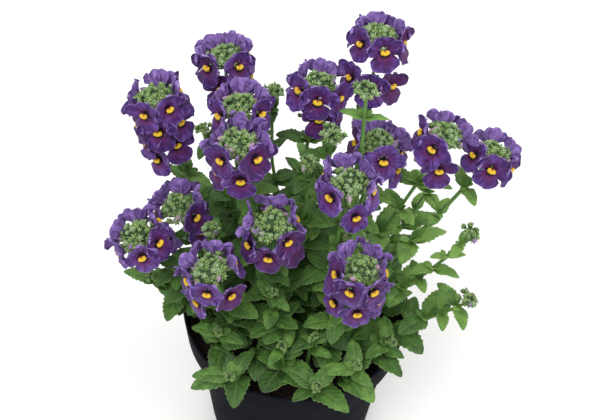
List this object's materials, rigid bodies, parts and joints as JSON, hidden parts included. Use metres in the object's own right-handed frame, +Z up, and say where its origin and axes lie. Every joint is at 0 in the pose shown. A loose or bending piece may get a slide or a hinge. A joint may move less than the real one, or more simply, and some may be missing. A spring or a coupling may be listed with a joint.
{
  "type": "potted nemesia",
  "caption": "Nemesia in a round nursery pot: leafy square stems standing in compost, with heads of two-lipped violet flowers round green bud clusters.",
  "frame": {"origin": "centre of the pot's underside, on the surface it stands on", "axes": "+Z up along the pot's axis, -Y towards the plant's front, +X to its right"},
  "size_m": [0.1994, 0.1526, 0.2764],
  "materials": {
    "pot": "satin",
    "compost": "matte",
    "foliage": "matte",
    "petals": "matte"
  },
  "bodies": {
    "root": {"back_left_flowers": "petals", "back_left_shoot": "foliage", "back_middle_flowers": "petals", "back_middle_shoot": "foliage", "back_tip_a_shoot": "foliage", "back_tip_b_shoot": "foliage", "back_tip_c_shoot": "foliage", "behind_left_flowers": "petals", "behind_left_shoot": "foliage", "behind_right_flowers": "petals", "behind_right_shoot": "foliage", "centre_flowers": "petals", "centre_right_flowers": "petals", "centre_right_shoot": "foliage", "centre_shoot": "foliage", "compost": "compost", "far_left_flowers": "petals", "far_left_shoot": "foliage", "far_right_flowers": "petals", "far_right_shoot": "foliage", "front_tip_a_shoot": "foliage", "front_tip_b_shoot": "foliage", "front_tip_c_shoot": "foliage", "front_tip_d_shoot": "foliage", "front_tip_e_shoot": "foliage", "front_tip_f_shoot": "foliage", "front_tip_g_shoot": "foliage", "front_tip_h_shoot": "foliage", "front_tip_i_shoot": "foliage", "hidden_bud_shoot": "foliage", "left_spire_flowers": "petals", "left_spire_shoot": "foliage", "left_tip_shoot": "foliage", "low_bud_shoot": "foliage", "low_left_flowers": "petals", "low_left_shoot": "foliage", "low_right_bud_shoot": "foliage", "low_right_flowers": "petals", "low_right_shoot": "foliage", "mid_left_flowers": "petals", "mid_left_shoot": "foliage", "middle_bud_shoot": "foliage", "pot": "pot", "rear_bud_shoot": "foliage", "rear_left_bud_shoot": "foliage", "rear_left_flowers": "petals", "rear_left_shoot": "foliage", "right_bud_shoot": "foliage", "right_flowers": "petals", "right_shoot": "foliage", "side_left_bud_shoot": "foliage", "tall_back_flowers": "petals", "tall_back_shoot": "foliage", "thin_bud_shoot": "foliage", "upper_left_flowers": "petals", "upper_left_shoot": "foliage", "upper_right_flowers": "petals", "upper_right_shoot": "foliage"}
  },
  "joints": []
}
